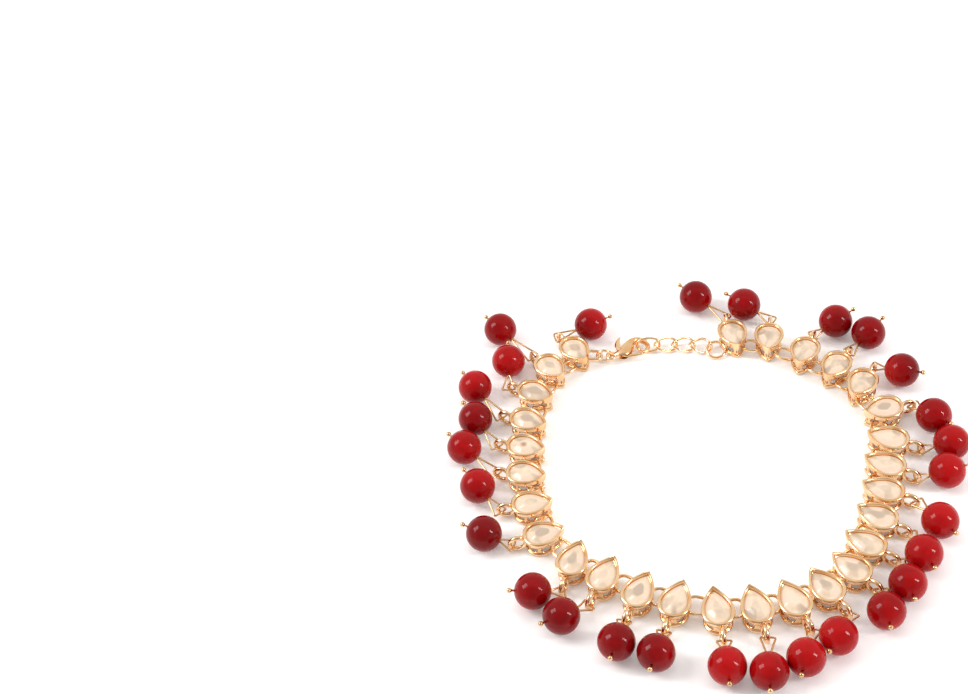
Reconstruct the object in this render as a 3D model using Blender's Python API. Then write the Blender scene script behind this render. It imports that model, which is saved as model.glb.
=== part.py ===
# Payal anklet lying in a loose ring: pear shaped stone settings joined by jump rings,
# a round bead hanging from each setting, a lobster clasp and a short extension chain.
# Metres, +Z up, the surface it lies on is z = 0.
import math

import bmesh
import bpy
from mathutils import Matrix, Vector

MM = 0.001
GAP = 0.3 * MM

# Stone setting
SETTING_WIDTH = 7.0 * MM
SETTING_LENGTH = 9.4 * MM
RIM_HEIGHT = 4.6 * MM
TIP_RISE = 0.9 * MM
LIP_THICKNESS = 0.65 * MM
BEZEL_FLOOR = 2.8 * MM
BASE_HEIGHT = 0.9 * MM
BASE_WALL = 0.8 * MM
FOOT_INSET = 0.4 * MM
STONE_RISE = 0.45 * MM
TABLE_INSET = 1.3 * MM

# Cast loop at each setting's round end
CAST_RADIUS = 1.75 * MM
CAST_WIRE = 0.5 * MM
CAST_LOOP = [(-0.2, 1.0), (1.0, 0.6), (1.0, -0.6), (-0.2, -1.0)]
FLOOR_CLEARANCE = 0.05 * MM

# Jump rings between settings
RING_WIRE = 0.35 * MM
RING_HALF_WIDTH = 1.6 * MM
RING_LIFT = 1.55 * MM
RING_SINK = 0.1 * MM
RING_SHOULDER = 0.45
SETTING_SPACE = 1.0 * MM
PITCH = SETTING_WIDTH + SETTING_SPACE

# Hanging bead on its head pin
BEAD_DIAMETER = 8.0 * MM
BEAD_RINGS = (20, 55, 90, 125, 160)
BEAD_SIDES = 10
PIN_WIRE = 0.25 * MM
PIN_LOOP_HALF_WIDTH = 1.45 * MM
PIN_STICK_OUT = 1.0 * MM
PIN_BALL = 0.6 * MM

# Extension chain
LINK_LENGTH = 6.0 * MM
LINK_WIDTH = 4.0 * MM
LINK_WIRE = 0.35 * MM
LINK_LIFT = 1.6 * MM
LINK_PLAY = 1.25 * GAP
LINK_SQUARENESS = 0.7
HOOKED_LINK_RISE = 0.35 * MM
END_RING_RADIUS = 2.2 * MM
END_RING_WIRE = 0.37 * MM
END_RING_LIFT = 1.1 * MM
END_RING_LEAN = 15

# Lobster clasp, with its own small ring
CLASP_LIFT = 1.75 * MM
CLASP_SLOT = 1.3 * MM
LEVER_THICKNESS = CLASP_SLOT - 2 * GAP
PIVOT_RADIUS = 0.45 * MM
PIVOT_PIN_SINK = 0.35 * MM
EYE_RADIUS = 1.03 * MM
EYE_WIRE = 0.33 * MM
CLASP_RING_RADIUS = 1.7 * MM
END_RING_BACK = 4.56 * MM
END_RING_INWARD = 1.16 * MM
END_LINK_SPAN = 5.14 * MM
END_LINK_HALF_WIDTH = 1.28 * MM

# Settings' centre line as the anklet lies: angle in degrees, radius as a share of the mean
ROUTE = [
    (80, 0.975), (56, 1.0), (36, 1.035), (20, 1.05), (5, 0.985), (-12, 0.955),
    (-30, 0.975), (-50, 1.015), (-75, 0.98), (-100, 0.93), (-125, 0.93), (-150, 0.985),
    (-175, 0.975), (-200, 1.045), (-218, 1.125), (-230, 1.12), (-242, 1.0), (-265, 0.955),
]
ROUTE_STEPS = 60

# One row for each setting and the bead on it, from the chain's end round to the clasp's end.
# step: way on to the next setting, a share of PITCH; aside: outward, a share of PITCH;
# turn: degrees from straight out; swing: the bead's degrees from its setting's line;
# reach: from the cast loop to the bead's centre, a share of BEAD_DIAMETER
STATION_COLUMNS = ("number", "step", "aside", "turn", "swing", "reach")
STATIONS = [
    (28, 1.04, 0.02, 26, 36, 1.12),
    (27, 1.14, 0.14, 13, 64, 0.92),
    (26, 1.04, 0.00, 7, -38, 0.73),
    (25, 0.99, 0.02, 8, -12, 0.75),
    (24, 1.11, 0.03, 22, -85, 0.79),
    (23, 1.10, 0.01, 0, -69, 0.73),
    (22, 0.96, 0.00, -7, 19, 0.77),
    (21, 0.91, -0.05, -11, 27, 0.74),
    (20, 0.93, 0.00, -4, -40, 0.89),
    (19, 0.97, 0.00, -10, -45, 0.81),
    (18, 0.91, 0.00, -3, -52, 0.82),
    (17, 0.91, 0.03, -1, -49, 0.74),
    (16, 0.94, 0.01, 7, -64, 0.85),
    (15, 0.97, 0.03, 8, -43, 0.92),
    (14, 1.00, -0.03, 7, -17, 1.04),
    (13, 1.08, 0.03, 15, -6, 0.79),
    (12, 1.00, -0.02, -7, 7, 0.73),
    (11, 1.06, 0.00, -3, 13, 0.73),
    (10, 0.98, -0.03, 4, -27, 0.79),
    (9, 1.19, 0.03, 18, -61, 0.73),
    (8, 1.12, 0.02, -22, -29, 0.74),
    (7, 1.09, -0.02, -10, -52, 0.93),
    (6, 1.00, 0.02, -21, -27, 1.20),
    (5, 1.00, 0.00, -18, -36, 1.04),
    (4, 1.10, 0.01, -19, -27, 1.25),
    (3, 1.07, 0.04, -12, -60, 0.86),
    (2, 1.01, 0.03, -17, 3, 1.37),
    (1, 0.00, 0.00, 8, -109, 1.04),
]
LAST_RIGHT = 15

# Chain links from the end ring to the clasp: way on in degrees, roll at each end in degrees
CHAIN = [(168, 1, 77), (170, 1, 77), (178, 1, 77), (189, 50, 77)]
CLASP_HEADING = 28
RING_HEADING = 5

# Pear outline, degrees round from the tip, and which stretches of the gallery are posts
PEAR_ANGLES = (0, 42, 80, 120, 160, 200, 240, 280, 318)
PEAR_POSTS = (True, False, False, True, False, True, False, False, True)
PEAR_POINT = 0.6

# Claw of the clasp along its line: along, aside, width, height, all from the eye's centre
CLAW = [
    (1.0, 0.0, 1.2, 0.9), (2.0, 0.3, 2.4, 2.2), (3.3, 0.1, 3.4, 2.4), (4.8, -0.9, 2.8, 2.4),
    (6.4, -1.8, 1.9, 2.2), (8.1, -1.7, 1.5, 1.8), (9.2, -0.6, 1.3, 1.4), (9.4, 0.9, 1.15, 1.15),
    (8.7, 2.1, 1.1, 1.1), (7.6, 2.65, 0.9, 1.0),
]
HOOK_POINT = (9.45, 1.0)
PIVOT = (3.0, 0.7)
SLOT_ENDS = (1.45, 5.3)
LEVER = [
    (7.05, 3.05), (5.2, 2.75), (3.4, 2.2), (2.0, 1.5), (1.7, 0.6), (2.1, -0.6), (2.5, -1.8),
    (4.2, -4.1), (4.8, -3.9), (4.4, -2.6), (4.0, -1.2), (4.1, 0.2), (5.4, 1.95), (6.95, 2.35),
]

GOLD = ((0.86, 0.62, 0.33), 0.18, 1.0)
BEAD = ((0.36, 0.01, 0.015), 0.08, 0.0)


def material(name, look):
    colour, roughness, metallic = look
    made = bpy.data.materials.new(name)
    made.use_nodes = True
    shader = made.node_tree.nodes["Principled BSDF"]
    shader.inputs["Base Color"].default_value = (*colour, 1.0)
    shader.inputs["Roughness"].default_value = roughness
    shader.inputs["Metallic"].default_value = metallic
    return made


def new_object(name, shape, stuff, helper=False):
    bmesh.ops.recalc_face_normals(shape, faces=shape.faces)
    mesh = bpy.data.meshes.new(name)
    shape.to_mesh(mesh)
    shape.free()
    made = bpy.data.objects.new(name, mesh)
    bpy.context.collection.objects.link(made)
    made.data.materials.append(stuff)
    if helper:
        made.hide_render = True
        made.display_type = "WIRE"
    return made


def boolean(target, other, operation):
    step = target.modifiers.new(other.name, "BOOLEAN")
    step.operation = operation
    step.solver = "EXACT"
    step.object = other


def place(x, y, heading, z=0.0):
    return Matrix.Translation((x, y, z)) @ Matrix.Rotation(heading, 4, "Z")


def unit(heading):
    return Vector((math.cos(heading), math.sin(heading)))


# Closed tube along a closed or open run of points
def tube(shape, points, radius, sides, closed=True):
    count = len(points)
    rows = []
    middle = sum(points, Vector()) / count
    for k, point in enumerate(points):
        before = points[k - 1] if closed or k else point
        after = points[(k + 1) % count] if closed or k < count - 1 else point
        along = (after - before).normalized()
        out = point - middle
        out = (out - along * out.dot(along)).normalized()
        up = along.cross(out)
        row = []
        for s in range(sides):
            angle = 2 * math.pi * s / sides
            row.append(shape.verts.new(point + (out * math.cos(angle) + up * math.sin(angle)) * radius))
        rows.append(row)
    for k in range(count if closed else count - 1):
        first, second = rows[k], rows[(k + 1) % count]
        for s in range(sides):
            shape.faces.new((first[s], first[s - 1], second[s - 1], second[s]))
    if not closed:
        shape.faces.new(rows[0])
        shape.faces.new(list(reversed(rows[-1])))


def band(shape, first, second, stretches=None):
    count = len(first)
    for k in range(count):
        if stretches is None or stretches[k]:
            following = (k + 1) % count
            shape.faces.new((first[k], first[following], second[following], second[k]))


# Pear outline: a circle whose sides close in towards the tip at -X
def pear_shares():
    row = []
    for angle in PEAR_ANGLES:
        turn = math.radians(angle)
        row.append((-math.cos(turn), math.sin(turn) * abs(math.sin(turn / 2)) ** PEAR_POINT))
    longest, widest = max(x for x, y in row), max(y for x, y in row)
    return [(x / longest if x > 0 else x, y / widest) for x, y in row]


def pear(inset, height, spot):
    row = []
    for along, across in pear_shares():
        x, y = along * (SETTING_LENGTH / 2 - inset), across * (SETTING_WIDTH / 2 - inset)
        row.append(spot @ Vector((x, y, height(x) if callable(height) else height)))
    return row


def rim_height(x):
    nearness = max(0.0, -x / (SETTING_LENGTH / 2))
    return RIM_HEIGHT + TIP_RISE * nearness ** 4


# Stone in its bezel over an open gallery and a base ring, as one closed body
def add_setting(shape, spot):
    def ring(inset, height):
        return [shape.verts.new(p) for p in pear(inset, height, spot)]
    inner = FOOT_INSET + BASE_WALL
    opens = [not post for post in PEAR_POSTS]
    foot_out, foot_in = ring(FOOT_INSET, 0), ring(inner, 0)
    top_out, top_in = ring(FOOT_INSET, BASE_HEIGHT), ring(inner, BASE_HEIGHT)
    floor_out, floor_in = ring(FOOT_INSET, BEZEL_FLOOR), ring(inner, BEZEL_FLOOR)
    crest = ring(0, rim_height)
    lip = ring(LIP_THICKNESS, rim_height)
    table = ring(LIP_THICKNESS + TABLE_INSET, RIM_HEIGHT + STONE_RISE)
    band(shape, foot_in, foot_out)
    band(shape, foot_out, top_out)
    band(shape, top_in, foot_in)
    band(shape, top_out, top_in, opens)
    band(shape, top_out, floor_out, PEAR_POSTS)
    band(shape, floor_in, top_in, PEAR_POSTS)
    band(shape, floor_in, floor_out, opens)
    for k, post in enumerate(PEAR_POSTS):
        if post != PEAR_POSTS[k - 1]:
            shape.faces.new((top_out[k], floor_out[k], floor_in[k], top_in[k]))
    shape.faces.new(floor_in)
    band(shape, floor_out, crest)
    band(shape, crest, lip)
    band(shape, lip, table)
    shape.faces.new(table)


def add_cast_loop(shape, spot):
    centre = Vector((cast_centre(), 0, CAST_RADIUS + CAST_WIRE + FLOOR_CLEARANCE))
    buried = SETTING_LENGTH / 2 - FOOT_INSET - CAST_WIRE
    top = (BEZEL_FLOOR + RIM_HEIGHT) / 2
    points = [Vector((buried, 0, top))]
    for out, up in CAST_LOOP:
        points.append(centre + Vector((out, 0, up)) * CAST_RADIUS)
    points.append(Vector((buried, 0, CAST_WIRE + FLOOR_CLEARANCE)))
    tube(shape, [spot @ p for p in points], CAST_WIRE, 5, closed=False)


def cast_centre():
    return SETTING_LENGTH / 2 + CAST_RADIUS - 0.5 * MM


def hang_distance():
    return cast_centre() + CAST_RADIUS


# Oval ring lying between two places, with heights at its start, both shoulders and its end.
# An end that rises to the bezel's underside is soldered to it
def add_jump_ring(shape, start, end, lifts, half_width):
    middle = (start + end) / 2
    along = (end - start) / 2
    across = Vector((-along.y, along.x)).normalized() * half_width
    s = RING_SHOULDER
    points = []
    for u, v, lift in ((1, 0, lifts[3]), (s, 1, lifts[2]), (-s, 1, lifts[1]), (-1, 0, lifts[0]),
                       (-s, -1, lifts[1]), (s, -1, lifts[2])):
        flat = middle + along * u + across * v
        points.append(Vector((flat.x, flat.y, lift)))
    tube(shape, points, RING_WIRE, 5)


# Link centres' spacing from the end ring and from each other
def link_reaches():
    first = END_RING_RADIUS + LINK_LENGTH / 2 - LINK_WIRE - (LINK_WIRE + END_RING_WIRE + GAP)
    return [first] + [LINK_LENGTH - 4 * LINK_WIRE - LINK_PLAY] * (len(CHAIN) - 1)


# Way from the last setting round the chain, clasp and its ring to the first setting
def clasp_stretch():
    clasp = math.hypot(*HOOK_POINT) * MM + CLASP_RING_RADIUS + RING_WIRE + GAP
    return math.hypot(END_RING_BACK, END_RING_INWARD) + sum(link_reaches()) + clasp + END_LINK_SPAN


def route_curve():
    shares = [unit(math.radians(angle)) * share for angle, share in ROUTE]
    count = len(shares)
    curve = []
    for k in range(count):
        a, b, c, d = (shares[(k + j) % count] for j in (-1, 0, 1, 2))
        for s in range(ROUTE_STEPS):
            t = s / ROUTE_STEPS
            curve.append(0.5 * (2 * b + (c - a) * t + (2 * a - 5 * b + 4 * c - d) * t ** 2
                                + (3 * b - a - 3 * c + d) * t ** 3))
    length = sum((curve[k] - curve[k - 1]).length for k in range(len(curve)))
    wanted = sum(row[1] for row in STATIONS) * PITCH + clasp_stretch()
    return [p * (wanted / length) for p in curve]


# Point and way on at a distance along the closed route
def along_route(curve, distance):
    for k in range(len(curve)):
        step = curve[(k + 1) % len(curve)] - curve[k]
        if distance < step.length:
            return curve[k] + step.normalized() * distance, step.normalized()
        distance -= step.length
    raise ValueError("distance runs past the route")


def stations():
    curve = route_curve()
    distance = 0.0
    placed = {}
    for values in STATIONS:
        row = dict(zip(STATION_COLUMNS, values))
        point, way = along_route(curve, distance)
        outward = Vector((-way.y, way.x))
        heading = math.atan2(outward.y, outward.x) + math.radians(row["turn"])
        spot = point + outward * row["aside"] * PITCH
        hang = spot + unit(heading) * hang_distance()
        bead = hang + unit(heading + math.radians(row["swing"])) * row["reach"] * BEAD_DIAMETER
        placed[row["number"]] = {"spot": spot, "heading": heading, "hang": hang, "bead": bead}
        distance += row["step"] * PITCH
    return placed


# Strings of settings: the settings' bodies, their cast loops and the rings between them
def build_string(name, numbers, placed, rings, gold):
    bodies, loops, links = bmesh.new(), bmesh.new(), bmesh.new()
    for number in numbers:
        row = placed[number]
        spot = place(row["spot"].x, row["spot"].y, row["heading"])
        add_setting(bodies, spot)
        add_cast_loop(loops, spot)
    for ring in rings:
        if ring["kind"] == "oval":
            add_jump_ring(links, *ring["sizes"])
        else:
            tube(links, ring["points"], END_RING_WIRE, 5)
    made = new_object(name, bodies, gold)
    boolean(made, new_object(name + "_loops", loops, gold, helper=True), "UNION")
    boolean(made, new_object(name + "_rings", links, gold, helper=True), "UNION")
    return made


# Place inside a gallery where a jump ring's end lies, on the way from one setting to another
def ring_end(placed, number, other):
    start, way = placed[number]["spot"], placed[other]["spot"] - placed[number]["spot"]
    inside = SETTING_WIDTH / 2 - FOOT_INSET - BASE_WALL - RING_WIRE - GAP
    return start + way.normalized() * inside


def ring_between(placed, number, other, free=False):
    start, end = ring_end(placed, number, other), ring_end(placed, other, number)
    soldered = BEZEL_FLOOR + RING_SINK
    lifts = (soldered, RING_LIFT, RING_LIFT, RING_LIFT if free else soldered)
    return {"kind": "oval", "sizes": (start, end, lifts, RING_HALF_WIDTH)}


def build_drop(number, row, bead_look):
    bead, hang = row["bead"], row["hang"]
    radius = BEAD_DIAMETER / 2
    hang_height = CAST_RADIUS + CAST_WIRE
    flat = hang - bead
    away = Vector((flat.x, flat.y, hang_height - radius))
    reach = away.length
    along = away.normalized()
    across = Vector((0, 0, 1)).cross(along).normalized()
    frame = Matrix((along, across, along.cross(across))).transposed().to_4x4()
    spot = Matrix.Translation((bead.x, bead.y, radius)) @ frame
    shape = bmesh.new()
    add_bead(shape, spot, radius)
    made = new_object(f"drop_{number:02d}", shape, bead_look)
    wire = bmesh.new()
    far = reach + CAST_WIRE + PIN_WIRE + GAP / 2
    corners = ((radius - 2 * PIN_WIRE, 0), (far, PIN_LOOP_HALF_WIDTH), (far, -PIN_LOOP_HALF_WIDTH))
    tube(wire, [spot @ Vector((x, y, 0)) for x, y in corners], PIN_WIRE, 5)
    add_pin_end(wire, spot, radius)
    boolean(made, new_object(f"drop_{number:02d}_pin", wire, bead_look, helper=True), "UNION")
    return made


# Round bead turned about its pin's line, with a small flat at each hole
def add_bead(shape, spot, radius):
    rows = []
    for angle in BEAD_RINGS:
        x, r = radius * math.cos(math.radians(angle)), radius * math.sin(math.radians(angle))
        row = []
        for s in range(BEAD_SIDES):
            turn = 2 * math.pi * s / BEAD_SIDES
            row.append(shape.verts.new(spot @ Vector((x, r * math.cos(turn), r * math.sin(turn)))))
        rows.append(row)
    for first, second in zip(rows, rows[1:]):
        band(shape, first, second)
    shape.faces.new(rows[0])
    shape.faces.new(rows[-1])


# Head pin's stub and round head on the bead's far side, turned about the pin's line
def add_pin_end(shape, spot, radius):
    sides = 5
    profile = ((radius - 2 * PIN_WIRE, PIN_WIRE), (radius + PIN_STICK_OUT - PIN_BALL, PIN_WIRE),
               (radius + PIN_STICK_OUT, PIN_BALL))
    rows = []
    for x, r in profile:
        row = []
        for s in range(sides):
            turn = 2 * math.pi * s / sides
            row.append(shape.verts.new(spot @ Vector((-x, r * math.cos(turn), r * math.sin(turn)))))
        rows.append(row)
    tip = shape.verts.new(spot @ Vector((-radius - PIN_STICK_OUT - PIN_BALL, 0, 0)))
    for first, second in zip(rows, rows[1:]):
        band(shape, first, second)
    for s in range(sides):
        shape.faces.new((rows[-1][s - 1], rows[-1][s], tip))
    shape.faces.new(rows[0])


# Oval chain link, twisted along its length so that it hooks its neighbours while lying flat
def build_link(number, centre, heading, rolls, lift, gold):
    half_length = LINK_LENGTH / 2 - LINK_WIRE
    half_width = LINK_WIDTH / 2 - LINK_WIRE
    spot = place(centre.x, centre.y, heading, lift)
    points = []
    for k in range(10):
        turn = 2 * math.pi * k / 10
        x = half_length * math.cos(turn)
        y = half_width * math.copysign(abs(math.sin(turn)) ** LINK_SQUARENESS, math.sin(turn))
        share = (x / half_length + 1) / 2
        roll = math.radians(rolls[1] + (rolls[0] - rolls[1]) * share)
        points.append(spot @ Vector((x, y * math.cos(roll), -y * math.sin(roll))))
    shape = bmesh.new()
    tube(shape, points, LINK_WIRE, 5)
    return new_object(f"chain_link_{number:02d}", shape, gold)


def ring_points(spot, radius, count):
    points = []
    for k in range(count):
        turn = 2 * math.pi * k / count
        points.append(spot @ Vector((radius * math.cos(turn), radius * math.sin(turn), 0)))
    return points


def extrude_outline(shape, outline, spot, low, high):
    bottom = [shape.verts.new(spot @ Vector((x * MM, y * MM, low))) for x, y in outline]
    top = [shape.verts.new(spot @ Vector((x * MM, y * MM, high))) for x, y in outline]
    band(shape, bottom, top)
    shape.faces.new(top)
    shape.faces.new(list(reversed(bottom)))


def add_cylinder(shape, spot, centre, radius, height, sides=8):
    flat = [(centre[0] + radius / MM * math.cos(2 * math.pi * k / sides),
             centre[1] + radius / MM * math.sin(2 * math.pi * k / sides)) for k in range(sides)]
    extrude_outline(shape, flat, spot, -height / 2, height / 2)


def build_clasp(spot, gold):
    claw = bmesh.new()
    rows = []
    for k, (along, aside, width, height) in enumerate(CLAW):
        before, after = CLAW[max(k - 1, 0)], CLAW[min(k + 1, len(CLAW) - 1)]
        way = Vector((after[0] - before[0], after[1] - before[1])).normalized()
        side = Vector((-way.y, way.x))
        row = []
        for s in range(8):
            turn = 2 * math.pi * (s + 0.5) / 8
            out = side * width / 2 * math.cos(turn)
            point = Vector((along + out.x, aside + out.y, height / 2 * math.sin(turn))) * MM
            row.append(claw.verts.new(spot @ point))
        rows.append(row)
    for first, second in zip(rows, rows[1:]):
        band(claw, first, second)
    claw.faces.new(rows[0])
    claw.faces.new(list(reversed(rows[-1])))
    body = new_object("clasp_body", claw, gold)
    slot = bmesh.new()
    ends = [(SLOT_ENDS[0], -5), (SLOT_ENDS[1], -5), (SLOT_ENDS[1], 5), (SLOT_ENDS[0], 5)]
    extrude_outline(slot, ends, spot, -CLASP_SLOT / 2, CLASP_SLOT / 2)
    boolean(body, new_object("clasp_slot", slot, gold, helper=True), "DIFFERENCE")
    extras = bmesh.new()
    tube(extras, ring_points(spot, EYE_RADIUS, 10), EYE_WIRE, 6)
    pin_length = CLASP_SLOT + 2 * PIVOT_PIN_SINK
    add_cylinder(extras, spot, PIVOT, PIVOT_RADIUS, pin_length)
    boolean(body, new_object("clasp_eye_and_pivot", extras, gold, helper=True), "UNION")
    blade = bmesh.new()
    extrude_outline(blade, LEVER, spot, -LEVER_THICKNESS / 2, LEVER_THICKNESS / 2)
    pivot = spot @ Vector((PIVOT[0] * MM, PIVOT[1] * MM, 0))
    bmesh.ops.translate(blade, vec=-pivot, verts=blade.verts)
    lever = new_object("clasp_lever", blade, gold)
    lever.location = pivot
    bore = bmesh.new()
    add_cylinder(bore, spot, PIVOT, PIVOT_RADIUS + GAP, CLASP_SLOT)
    boolean(lever, new_object("clasp_bore", bore, gold, helper=True), "DIFFERENCE")
    return body, lever


def build():
    for old in list(bpy.data.objects):
        bpy.data.objects.remove(old)
    gold, bead_look = material("gold", GOLD), material("bead", BEAD)
    placed = stations()
    first_left = LAST_RIGHT - 1

    # End ring at the chain's end, fused to the last setting
    last = placed[28]
    outward, back = unit(last["heading"]), unit(last["heading"] + math.pi / 2)
    end_spot = last["spot"] + back * END_RING_BACK - outward * END_RING_INWARD
    lean = Matrix.Rotation(math.radians(END_RING_LEAN), 4, "X")
    end_ring = {"kind": "round", "points": ring_points(
        Matrix.Translation((end_spot.x, end_spot.y, END_RING_LIFT)) @ lean, END_RING_RADIUS, 12)}

    # Chain from the end ring to the clasp
    centre = end_spot
    for k, (reach, (heading, roll_far, roll_near)) in enumerate(zip(link_reaches(), CHAIN)):
        way = unit(math.radians(heading))
        centre = centre + way * reach
        hooked = k == len(CHAIN) - 1
        lift = LINK_LIFT + (HOOKED_LINK_RISE if hooked else 0.0)
        build_link(len(CHAIN) - k, centre, math.radians(heading - 180), (roll_near, roll_far), lift, gold)

    # Clasp hooked in the last link, and the ring at its eye
    turn = math.radians(CLASP_HEADING)
    hook = Matrix.Rotation(turn, 2) @ Vector((HOOK_POINT[0], -HOOK_POINT[1])) * MM
    eye = centre - hook
    spot = Matrix.Translation((eye.x, eye.y, CLASP_LIFT)) @ Matrix.Rotation(turn, 4, "Z")
    spot = spot @ Matrix.Scale(-1, 4, (0, 1, 0))
    build_clasp(spot, gold)
    way = unit(math.radians(RING_HEADING))
    ring_centre = eye - way * CLASP_RING_RADIUS
    ring_spot = place(ring_centre.x, ring_centre.y, math.radians(RING_HEADING),
                      CLASP_RING_RADIUS + RING_WIRE + FLOOR_CLEARANCE)
    shape = bmesh.new()
    tube(shape, ring_points(ring_spot @ Matrix.Rotation(math.pi / 2, 4, "X"), CLASP_RING_RADIUS, 12),
         RING_WIRE, 5)
    new_object("clasp_ring", shape, gold)

    # The two strings, which hook together at their middle ring
    far_end = ring_centre - way * (RING_WIRE + GAP + 0.02 * MM)
    to_clasp = far_end - placed[1]["spot"]
    inside = SETTING_WIDTH / 2 - FOOT_INSET - BASE_WALL - RING_WIRE - GAP
    near_end = placed[1]["spot"] + to_clasp.normalized() * inside
    high = BEZEL_FLOOR - RING_WIRE - GAP / 3
    low = CLASP_RING_RADIUS + RING_WIRE + FLOOR_CLEARANCE
    lifts = (BEZEL_FLOOR + RING_SINK, high, low, low)
    clasp_end = {"kind": "oval", "sizes": (near_end, far_end, lifts, END_LINK_HALF_WIDTH)}
    left = list(range(1, first_left + 1))
    right = list(range(LAST_RIGHT, 29))
    left_rings = [clasp_end] + [ring_between(placed, k, k + 1) for k in left[:-1]]
    left_rings.append(ring_between(placed, first_left, LAST_RIGHT, free=True))
    right_rings = [ring_between(placed, k, k + 1) for k in right[:-1]] + [end_ring]
    build_string("setting_string_left", left, placed, left_rings, gold)
    build_string("setting_string_right", right, placed, right_rings, gold)
    for number in range(1, 29):
        build_drop(number, placed[number], bead_look)
    centre_on_origin()


# The middle of the whole loop goes to the origin
def centre_on_origin():
    made = [o for o in bpy.data.objects if o.type == "MESH"]
    corners = [o.location + vertex.co for o in made for vertex in o.data.vertices]
    root = bpy.data.objects.new("anklet", None)
    bpy.context.collection.objects.link(root)
    for o in made:
        o.parent = root
    root.location = [-(min(c[k] for c in corners) + max(c[k] for c in corners)) / 2 for k in (0, 1)] + [0]


build()
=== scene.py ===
import math

import bmesh
import bpy
import numpy as np
from mathutils import Matrix, Vector


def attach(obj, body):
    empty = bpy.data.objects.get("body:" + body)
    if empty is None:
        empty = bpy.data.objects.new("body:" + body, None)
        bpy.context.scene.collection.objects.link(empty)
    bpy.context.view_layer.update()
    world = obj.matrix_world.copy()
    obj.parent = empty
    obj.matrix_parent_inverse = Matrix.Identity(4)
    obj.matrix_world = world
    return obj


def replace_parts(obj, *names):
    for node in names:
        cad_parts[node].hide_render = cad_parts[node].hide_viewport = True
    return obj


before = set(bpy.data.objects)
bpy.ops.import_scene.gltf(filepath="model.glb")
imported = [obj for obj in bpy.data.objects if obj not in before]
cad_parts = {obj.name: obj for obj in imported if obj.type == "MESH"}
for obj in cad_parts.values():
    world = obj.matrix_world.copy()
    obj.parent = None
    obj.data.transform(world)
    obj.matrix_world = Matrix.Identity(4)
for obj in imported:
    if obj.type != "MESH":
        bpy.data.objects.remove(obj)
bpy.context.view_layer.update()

mm = 0.001
upward = np.array([0.0, 0.0, 1.0])
wireSides = 12                                     # points round a wire's section

# How the anklet lies: the same route, steps and turns as the part's source, in millimetres
layout = {
    "pitch": 8.0, "beadDiameter": 8.0, "settingLength": 9.4, "settingWidth": 7.0,
    "castCentre": 5.95, "castRadius": 1.75, "claspStretch": 38.2,
    "middle": (-0.24, 1.59),                       # from the route's centre to the part's origin
    "route": [
        (80, 0.975), (56, 1.0), (36, 1.035), (20, 1.05), (5, 0.985), (-12, 0.955),
        (-30, 0.975), (-50, 1.015), (-75, 0.98), (-100, 0.93), (-125, 0.93), (-150, 0.985),
        (-175, 0.975), (-200, 1.045), (-218, 1.125), (-230, 1.12), (-242, 1.0), (-265, 0.955),
    ],
    # number, step on, aside, turn, bead's swing, bead's reach
    "stations": [
        (28, 1.04, 0.02, 26, 36, 1.12), (27, 1.14, 0.14, 13, 64, 0.92), (26, 1.04, 0.00, 7, -38, 0.73),
        (25, 0.99, 0.02, 8, -12, 0.75), (24, 1.11, 0.03, 22, -85, 0.79), (23, 1.10, 0.01, 0, -69, 0.73),
        (22, 0.96, 0.00, -7, 19, 0.77), (21, 0.91, -0.05, -11, 27, 0.74), (20, 0.93, 0.00, -4, -40, 0.89),
        (19, 0.97, 0.00, -10, -45, 0.81), (18, 0.91, 0.00, -3, -52, 0.82), (17, 0.91, 0.03, -1, -49, 0.74),
        (16, 0.94, 0.01, 7, -64, 0.85), (15, 0.97, 0.03, 8, -43, 0.92), (14, 1.00, -0.03, 7, -17, 1.04),
        (13, 1.08, 0.03, 15, -6, 0.79), (12, 1.00, -0.02, -7, 7, 0.73), (11, 1.06, 0.00, -3, 13, 0.73),
        (10, 0.98, -0.03, 4, -27, 0.79), (9, 1.19, 0.03, 18, -61, 0.73), (8, 1.12, 0.02, -22, -29, 0.74),
        (7, 1.09, -0.02, -10, -52, 0.93), (6, 1.00, 0.02, -21, -27, 1.20), (5, 1.00, 0.00, -18, -36, 1.04),
        (4, 1.10, 0.01, -19, -27, 1.25), (3, 1.07, 0.04, -12, -60, 0.86), (2, 1.01, 0.03, -17, 3, 1.37),
        (1, 0.00, 0.00, 8, -109, 1.04),
    ],
}


# Points on a smooth curve through the given points, closed or open: each stretch is the cubic that
# leaves a point along the line joining its two neighbours
def smoothLoop(points, steps, closed=True):
    p = np.asarray(points, float)
    if closed:
        a, b, c, d = np.roll(p, 1, 0), p, np.roll(p, -1, 0), np.roll(p, -2, 0)
    else:
        ends = np.vstack([2 * p[0] - p[1], p, 2 * p[-1] - p[-2]])
        a, b, c, d = ends[:-3], ends[1:-2], ends[2:-1], ends[3:]
    t = (np.arange(steps) / steps)[None, :, None]
    a, b, c, d = (q[:, None, :] for q in (a, b, c, d))
    curve = 0.5 * (2 * b + (c - a) * t + (2 * a - 5 * b + 4 * c - d) * t ** 2
                   + (3 * b - a - 3 * c + d) * t ** 3)
    curve = curve.reshape(-1, p.shape[1])
    return curve if closed else np.vstack([curve, p[-1:]])


# Unit step in the plan, at an angle in degrees from the first axis
def heading(degrees):
    turn = np.radians(degrees)
    return np.stack([np.cos(turn), np.sin(turn)], -1)


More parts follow.
